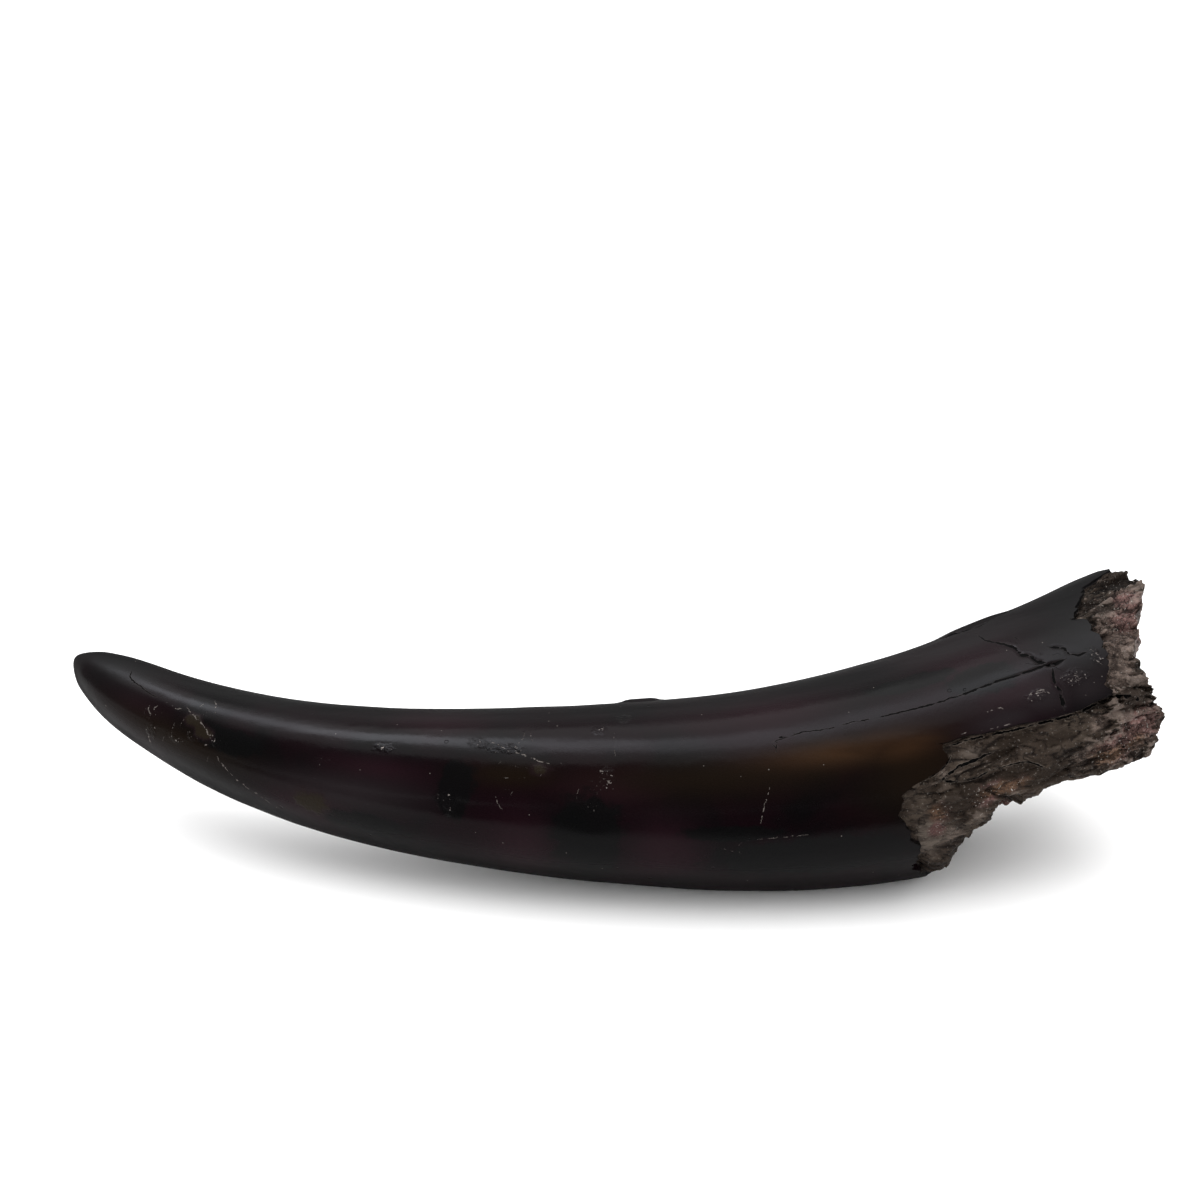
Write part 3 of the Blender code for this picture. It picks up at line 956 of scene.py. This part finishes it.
def tusk_surface():
    """The detailed tusk as one closed mesh with the masks for its material."""
    body, angles, distance, bare, hollow, grainy = body_surface()
    masks = {"bare": bare, "hollow": hollow, "grainy": grainy}
    masks.update(patch_masks(distance, angles, bare))
    masks.update(line_masks(distance, angles))

    outward = body - spine_point(distance)
    outward /= np.linalg.norm(outward, axis=-1, keepdims=True)
    depth = carved(masks["crack_side"], masks["crack_half"], masks["crack_near"])
    body = body - outward * (depth * (distance > CARVED_START))[..., None]
    body[..., 2] = np.maximum(body[..., 2], 0.0)

    rings, end_hollows, middle = end_surface(body[-1], angles[-1])
    tip = spine_point(np.array((0.0,)))
    rows = np.concatenate((body, rings))
    points = np.concatenate((tip, rows.reshape(-1, 3), middle[None])) - RAW_TO_FRAME

    mesh = bpy.data.meshes.new("tusk_surface")
    mesh.from_pydata(points.tolist(), [], tusk_faces(len(rows)))
    mesh.update()
    at_end = end_masks(rings, end_hollows)
    for name, mask in masks.items():
        end = at_end.get(name, np.zeros_like(end_hollows))
        values = np.concatenate((mask[0, :1], mask.ravel(), end.ravel(), end[-1, :1]))
        layer = mesh.attributes.new(name, "FLOAT", "POINT")
        layer.data.foreach_set("value", values.astype(np.float32))
    mesh.shade_smooth()
    mesh.set_sharp_from_angle(angle=math.radians(SHARP_ANGLE))
    return placed("tusk_surface", mesh)


# ------------ shader nodes
class Nodes:
    """Makes nodes in a tree and wires them; an input is a number or a socket."""

    def __init__(self, tree):
        self.tree = tree

    def add(self, kind, inputs=(), **settings):
        node = self.tree.nodes.new("ShaderNode" + kind)
        for key, value in settings.items():
            setattr(node, key, value)
        for key, value in dict(inputs).items():
            self.wire(node.inputs[key], value)
        return node

    def wire(self, socket, value):
        if isinstance(value, bpy.types.NodeSocket):
            self.tree.links.new(value, socket)
        else:
            socket.default_value = value

    def mask(self, name):
        return self.add("Attribute", attribute_name=name).outputs["Fac"]

    def math(self, operation, first, second=0.0):
        return self.add("Math", {0: first, 1: second}, operation=operation).outputs[0]

    def sum(self, *values):
        total = values[0]
        for value in values[1:]:
            total = self.math("ADD", total, value)
        return total

    def times(self, *values):
        total = values[0]
        for value in values[1:]:
            total = self.math("MULTIPLY", total, value)
        return total

    def ramp(self, value, low, high, start=0.0, end=1.0):
        """start below low, end above high, smooth between."""
        inputs = {"Value": value, "From Min": low, "From Max": high, "To Min": start, "To Max": end}
        return self.add("MapRange", inputs, interpolation_type="SMOOTHSTEP").outputs[0]

    def between(self, share, first, second):
        """A number between two others."""
        return self.add("Mix", {0: share, 2: first, 3: second}).outputs[0]

    def blend(self, share, first, second):
        """A colour between two others."""
        inputs = {"Factor": share, 6: first, 7: second}
        return self.add("Mix", inputs, data_type="RGBA").outputs[2]

    def painted(self, colour, *coats):
        """A colour under coats: each a mask, an amount and a colour of its own."""
        for mask, amount, coat in coats:
            colour = self.blend(self.times(mask, amount), colour, coat)
        return colour

    def noise(self, vector, scale, detail=3.0, roughness=0.55):
        inputs = {"Vector": vector, "Scale": scale, "Detail": detail, "Roughness": roughness}
        return self.add("TexNoise", inputs).outputs[0]

    def stretched(self, vector, by):
        return self.add("VectorMath", {0: vector, 1: by}, operation="MULTIPLY").outputs[0]

    def moved(self, vector, by):
        return self.add("VectorMath", {0: vector, 1: by}, operation="ADD").outputs[0]

    def fissures(self, vector, scale, width):
        """Network of thin lines: 1 on a line."""
        inputs = {"Vector": vector, "Scale": scale}
        cells = self.add("TexVoronoi", inputs, feature="DISTANCE_TO_EDGE")
        return self.ramp(cells.outputs["Distance"], 0.0, width, 1.0, 0.0)

    def dots(self, vector, scale, size, share):
        """Scattered round dots: 1 inside, for a share of the cells."""
        cells = self.add("TexVoronoi", {"Vector": vector, "Scale": scale})
        chance = self.add("SeparateColor", {0: cells.outputs["Color"]}).outputs[0]
        dot = self.ramp(cells.outputs["Distance"], size * 0.6, size, 1.0, 0.0)
        return self.times(dot, self.ramp(chance, 1 - share, 1 - share + 0.01))


def new_material(name):
    """A material, the maker of its nodes and the inputs of its shader."""
    material = bpy.data.materials.new(name)
    material.use_nodes = True
    tree = material.node_tree
    return material, Nodes(tree), tree.nodes["Principled BSDF"].inputs


# ------------ tusk material
def line_marks(nodes, name, place, jag, gaps, fray):
    """Thin wandering lines stored on the mesh, and the light lip beside them: a chipped edge,
    partly painted as a highlight.
    """
    wander = nodes.math("SUBTRACT", nodes.noise(place, 420, 4, 0.6), 0.5)
    side = nodes.sum(nodes.mask(name + "_side"), nodes.times(wander, jag))
    fraying = nodes.noise(nodes.stretched(place, (1, 1.6, 1.6)), fray, 2)
    strength = nodes.ramp(fraying, gaps, gaps + 0.14, 0, 1.25)
    width = nodes.times(nodes.mask(name + "_half"), strength)
    outside = nodes.math("SUBTRACT", nodes.math("ABSOLUTE", side), width)
    near = nodes.times(nodes.mask(name + "_near"), nodes.ramp(width, 0.02, 0.06))
    line = nodes.times(nodes.ramp(outside, -0.10, 0.04, 1, 0), near)
    lip = nodes.times(nodes.ramp(outside, 0, 0.45, 1, 0), near)
    return line, lip


def tusk_fields(nodes, place, along):
    """Masks that the colour, the gloss and the height share."""
    field = {
        "bare": nodes.ramp(nodes.mask("bare"), 0.42, 0.58),
        "grainy": nodes.mask("grainy"),
        "dull": nodes.times(nodes.mask("dull"), 0.8),
        "layers": nodes.noise(along, 330, 4, 0.6),
    }
    for name, (stored, scale, detail, roughness, amount, low, high) in RAGGED_PATCHES.items():
        edge = nodes.times(nodes.noise(place, scale, detail, roughness), amount)
        field[name] = nodes.ramp(nodes.sum(nodes.mask(stored), edge), low, high)
    edge = nodes.times(nodes.ramp(nodes.noise(place, 90, 2), 0.4, 0.6), 0.4)
    field["tan"] = nodes.ramp(nodes.sum(nodes.mask("tan"), edge), 0.30, 0.90)

    field["crack"], field["crack_lip"] = line_marks(nodes, "crack", place, *CRACK_BREAKS)
    field["scratch"], _ = line_marks(nodes, "scratch", place, *SCRATCH_BREAKS)

    swirl = nodes.add("TexNoise", {"Vector": place, "Scale": 130, "Detail": 3.0})
    swirl = nodes.stretched(swirl.outputs["Color"], SWIRL_SIZE)
    splits = nodes.fissures(nodes.moved(along, swirl), 190, 0.07)
    in_places = nodes.ramp(nodes.noise(place, 120), 0.45, 0.6)
    field["splits"] = nodes.times(splits, in_places)
    joints = nodes.fissures(nodes.moved(place, swirl), 760, 0.17)
    in_places = nodes.ramp(nodes.noise(place, 340, 2), 0.42, 0.58)
    field["grain_joints"] = nodes.times(joints, field["grainy"], in_places)
    return field


def skin_colour(nodes, place, along, field):
    """Black with purple and brown clouds, a warm stretch, spots and bright flecks, and glints
    painted on the pitted spots.
    """
    clouds = nodes.ramp(nodes.noise(place, 26), 0.42, 0.60)
    warmth = nodes.ramp(nodes.noise(along, 60), 0.3, 0.6, 0.55, 1)
    # Glints painted on the pitted spots.
    glints = nodes.ramp(nodes.noise(place, 850, 2, 0.5), 0.66, 0.70)
    return nodes.painted(
        nodes.blend(clouds, SKIN_BLACK, SKIN_CLOUD),
        (nodes.mask("purple"), 1, SKIN_PURPLE),
        (nodes.mask("earthy"), 1, SKIN_EARTHY),
        (nodes.mask("warm"), warmth, SKIN_WARM),
        (nodes.mask("worn"), 1, SKIN_WORN),
        (field["black"], 0.85, SKIN_DARKENED),
        (field["dull"], 1, SKIN_DULL),
        (field["halo"], 0.7, SPOT_HALO),
        (field["brown"], 0.85, SPOT_BROWN),
        (field["pitted"], glints, GLINT),
        (nodes.dots(place, 260, size=0.085, share=0.11), 0.7, FLECK),
        (field["scratch"], 0.7, SCRATCH),
    )


def dentine_colour(nodes, place, field):
    """Grey-brown layers and reddish grains, with dark gaps and hollows that are painted shade, chip
    rims and lighter spots partly painted as highlight, and bright sparkles painted as glints.
    """
    grainy, red, tan = field["grainy"], field["red"], field["tan"]
    patches = nodes.ramp(nodes.noise(place, 95), 0.35, 0.65)
    streaks = nodes.ramp(field["layers"], 0.38, 0.66, 0, 0.55)
    tint = nodes.blend(tan, DENTINE_RED, DENTINE_TAN)
    bright_tint = nodes.blend(tan, GRAINS_RED, GRAINS_TAN)
    grit = nodes.ramp(nodes.noise(place, 1100, 3, 0.65), 0.42, 0.60)
    # Painted shade in the hollows, weaker in the lighter spots.
    shaded_hollows = nodes.ramp(nodes.mask("hollow"), 0.12, 0.62, 1, 0)
    hollow_shade_share = nodes.ramp(nodes.mask("pale_and_lit"), 0.2, 0.9, 0.85, 0.40)
    # Painted highlight on the sharp rims.
    lit_edges = nodes.ramp(nodes.mask("hollow"), 0.68, 0.92)
    edge_highlight_share = nodes.ramp(tan, 0, 1, 0.50, 0.15)
    # Sparkles painted as glints.
    sparkles = nodes.ramp(nodes.noise(place, 950, 3, 0.6), 0.62, 0.69)
    sparkle_share = nodes.sum(nodes.times(red, 0.7), nodes.times(grainy, 0.4), 0.15)
    return nodes.painted(
        nodes.blend(patches, DENTINE_DARK, DENTINE_GREY),
        (field["pale_and_lit"], 0.9, nodes.blend(grainy, DENTINE_PALE_AND_LIT, GRAINS_PALE_AND_LIT)),
        (streaks, 1, LAYER_BROWN),
        (red, 0.85, nodes.blend(grainy, tint, bright_tint)),
        (nodes.times(red, grit), 0.45, GRIT),
        (field["grain_joints"], 0.75, JOINT_SHADE),
        (shaded_hollows, hollow_shade_share, HOLLOW_SHADE),
        (field["splits"], 0.7, SPLIT_SHADE),
        (lit_edges, edge_highlight_share, nodes.blend(grainy, EDGE_HIGHLIGHT, GRAIN_EDGE_HIGHLIGHT)),
        (field["dark"], 0.82, DENTINE_SHADOW),
        (sparkles, sparkle_share, SPARKLE),
    )


def tusk_colour(nodes, place, along, field):
    """Skin or dentine, with the cracks and shadow lines painted black as shade, and the light lip
    along them, partly a painted highlight.
    """
    skin = skin_colour(nodes, place, along, field)
    dentine = dentine_colour(nodes, place, field)
    lip = nodes.blend(field["bare"], SKIN_LIP_HIGHLIGHT, DENTINE_LIP_HIGHLIGHT)
    lip_highlight_share = nodes.ramp(field["bare"], 0, 1, 0.22, 0.45)
    return nodes.painted(
        nodes.blend(field["bare"], skin, dentine),
        (field["crack_lip"], lip_highlight_share, lip),
        # Cracks and shadow lines painted black as shade.
        (field["crack"], 1, CRACK_SHADE),
    )


def tusk_roughness(nodes, along, field):
    """Polished skin, less so where dull, pitted or seen at a slant; matt dentine."""
    facing = nodes.add("LayerWeight", {"Blend": 0.5}).outputs["Facing"]
    skin = nodes.sum(
        nodes.ramp(nodes.noise(along, 45, 4, 0.6), 0.35, 0.65, 0.17, 0.27),
        nodes.times(field["dull"], 0.18),
        nodes.times(field["brown"], 0.14),
        nodes.times(field["pitted"], 0.04),
        nodes.ramp(facing, 0.36, 0.80, 0, 0.45),
    )
    whole = nodes.between(field["bare"], skin, DENTINE_ROUGHNESS)
    return nodes.between(field["crack"], whole, CRACK_ROUGHNESS)


def tusk_height(nodes, place, along, field):
    """Fine height in mm of the skin, the dentine and the marks in them."""
    skin = nodes.sum(
        nodes.times(nodes.noise(place, 240), 0.06),
        nodes.times(nodes.noise(along, 70, 2), 0.22),
        nodes.times(nodes.dots(place, 150, size=0.16, share=0.09), -0.12),
        nodes.times(field["pitted"], nodes.noise(place, 420, 3, 0.6), 0.30),
        nodes.times(field["brown"], nodes.noise(place, 800), 0.20),
        nodes.times(field["scratch"], -0.05),
    )
    crumb_height = nodes.sum(nodes.times(field["grainy"], 2), 0.9)
    dentine = nodes.sum(
        nodes.times(nodes.noise(place, 300, 6, 0.68), crumb_height),
        nodes.times(field["layers"], 0.7),
        nodes.times(field["red"], nodes.noise(place, 900, 3, 0.6), 0.9),
        nodes.times(field["splits"], -0.5),
        nodes.times(field["grain_joints"], -0.7),
    )
    return nodes.sum(nodes.between(field["bare"], skin, dentine), nodes.times(field["crack"], -0.9))


def tusk_material():
    """Glossy black skin and rough grey-brown dentine in one material."""
    material, nodes, shader = new_material("tusk_skin_and_dentine")
    place = nodes.add("TexCoord").outputs["Object"]
    along = nodes.stretched(place, ALONG_STRETCH)
    field = tusk_fields(nodes, place, along)
    height = tusk_height(nodes, place, along, field)
    bump = nodes.add("Bump", {"Height": height, "Distance": MM, "Strength": 1.0})
    nodes.wire(shader["Base Color"], tusk_colour(nodes, place, along, field))
    nodes.wire(shader["Roughness"], tusk_roughness(nodes, along, field))
    nodes.wire(shader["Normal"], bump.outputs[0])
    shader["Specular IOR Level"].default_value = SPECULAR_LEVEL
    return material


# ------------ studio
def sheet(name, left, right, front, back, height, material):
    """Flat level rectangle."""
    corners = (
        (left, front, height),
        (right, front, height),
        (right, back, height),
        (left, back, height),
    )
    mesh = bpy.data.meshes.new(name)
    mesh.from_pydata(corners, [], [(0, 1, 2, 3)])
    mesh.materials.append(material)
    return placed(name, mesh)


def floor_piece():
    """Large matt white table top."""
    material, nodes, shader = new_material("studio_white")
    place = nodes.add("TexCoord").outputs["Object"]
    white = nodes.blend(nodes.noise(place, 60.0), FLOOR_WHITE, FLOOR_WHITER)
    nodes.wire(shader["Base Color"], white)
    shader["Roughness"].default_value = FLOOR_ROUGHNESS
    shader["Specular IOR Level"].default_value = FLOOR_SPECULAR
    half = FLOOR_SIZE / 2
    return sheet("studio_floor", -half, half, -half, half, 0.0, material)


def shade_cloth_piece():
    """Black cloth with a grey hem, low in front, seen only in the gloss: a darker mirrored floor,
    with painted shade at the hem.
    """
    material, nodes, shader = new_material("shade_cloth")
    place = nodes.add("TexCoord").outputs["Object"]
    toward_tusk = nodes.add("SeparateXYZ", {0: place}).outputs[1]
    # The grey hem is painted shade of the floor next to the tusk.
    shade_hem = nodes.ramp(toward_tusk, SHADE_CLOTH_BLACK_Y, SHADE_CLOTH_GREY_Y)
    nodes.wire(shader["Base Color"], nodes.blend(shade_hem, SHADE_CLOTH_BLACK, SHADE_CLOTH_GREY))
    shader["Specular IOR Level"].default_value = 0.0
    shade_cloth_object = sheet("shade_cloth", SHADE_CLOTH_LEFT, SHADE_CLOTH_RIGHT, SHADE_CLOTH_FRONT_Y, SHADE_CLOTH_BACK_Y,
                  SHADE_CLOTH_HEIGHT, material)
    shade_cloth_object.visible_camera = False
    shade_cloth_object.visible_diffuse = False
    shade_cloth_object.visible_shadow = False
    return shade_cloth_object


def far_light(name, strength, width, to_front, to_left):
    """Soft light from far away above, leaning to the front and to the left."""
    light = bpy.data.lights.new(name, "SUN")
    light.energy = strength
    light.angle = math.radians(width)
    lamp = placed(name, light)
    lamp.rotation_euler = (math.radians(to_front), math.radians(-to_left), 0.0)
    return lamp


def strip_light(x, y, length, width, turn, radiance):
    """Long light above the tusk, turned on its axis, seen only in the gloss."""
    light = bpy.data.lights.new("strip", "AREA")
    light.shape = "RECTANGLE"
    light.size = length
    light.size_y = width
    light.energy = radiance * math.pi * length * width
    light.color = STRIP_COLOUR
    lamp = placed("strip", light)
    lamp.location = (x, y, STRIP_HEIGHT)
    lamp.rotation_euler = (0.0, 0.0, math.radians(turn))
    lamp.visible_diffuse = False


def studio_lights():
    """The key for matt surfaces; the sky and the strips for gloss."""
    key = far_light("key", KEY_STRENGTH, KEY_WIDTH, KEY_TO_FRONT, KEY_TO_LEFT)
    key.visible_glossy = False
    sky = far_light("sky", SKY_STRENGTH, SKY_WIDTH, -SKY_TO_BACK, SKY_TO_LEFT)
    sky.visible_diffuse = False
    for strip in STRIPS:
        strip_light(*strip)


def surroundings():
    """Even room light; in the gloss it is darker, most of all in front."""
    world = bpy.data.worlds.new("room")
    bpy.context.scene.world = world
    world.use_nodes = True
    world.node_tree.nodes.clear()
    nodes = Nodes(world.node_tree)
    direction = nodes.add("TexCoord").outputs["Generated"]
    to_back = nodes.add("SeparateXYZ", {0: direction}).outputs[1]
    mirrored = nodes.ramp(to_back, -ROOM_BLEND, ROOM_BLEND, ROOM_FRONT, ROOM_BACK)
    rays = nodes.add("LightPath").outputs
    level = nodes.between(rays["Is Glossy Ray"], ROOM_LEVEL, mirrored)
    level = nodes.between(rays["Is Camera Ray"], level, BACKDROP_LEVEL)
    room = nodes.add("Background", {"Color": WHITE, "Strength": level})
    nodes.add("OutputWorld", {0: room.outputs[0]})


def camera():
    """Camera in front and above, looking slightly to the left of the middle."""
    looking_down = math.radians(CAMERA_ELEVATION)
    focal_pixels = PICTURE_PIXELS * CAMERA_LENS / SENSOR
    upward = math.atan(AIM_UP_PIXELS / focal_pixels)
    lens = bpy.data.cameras.new("camera")
    lens.sensor_width = SENSOR
    lens.lens = CAMERA_LENS
    eye = placed("camera", lens)
    x = -CAMERA_DISTANCE * math.cos(upward) * AIM_SIDE_PIXELS / focal_pixels
    y = -CAMERA_DISTANCE * math.cos(looking_down)
    z = AIM_HEIGHT + CAMERA_DISTANCE * math.sin(looking_down)
    eye.location = np.array((x, y, z)) - RAW_TO_FRAME
    eye.rotation_euler = (math.radians(90) - (looking_down - upward), 0.0, 0.0)
    bpy.context.scene.camera = eye


bpy.context.scene.view_settings.view_transform = "Standard"
camera()
surroundings()
studio_lights()
floor_piece()
shade_cloth_piece()

tusk = tusk_surface()
tusk.data.materials.append(tusk_material())
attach(tusk, "root")
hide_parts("tusk")
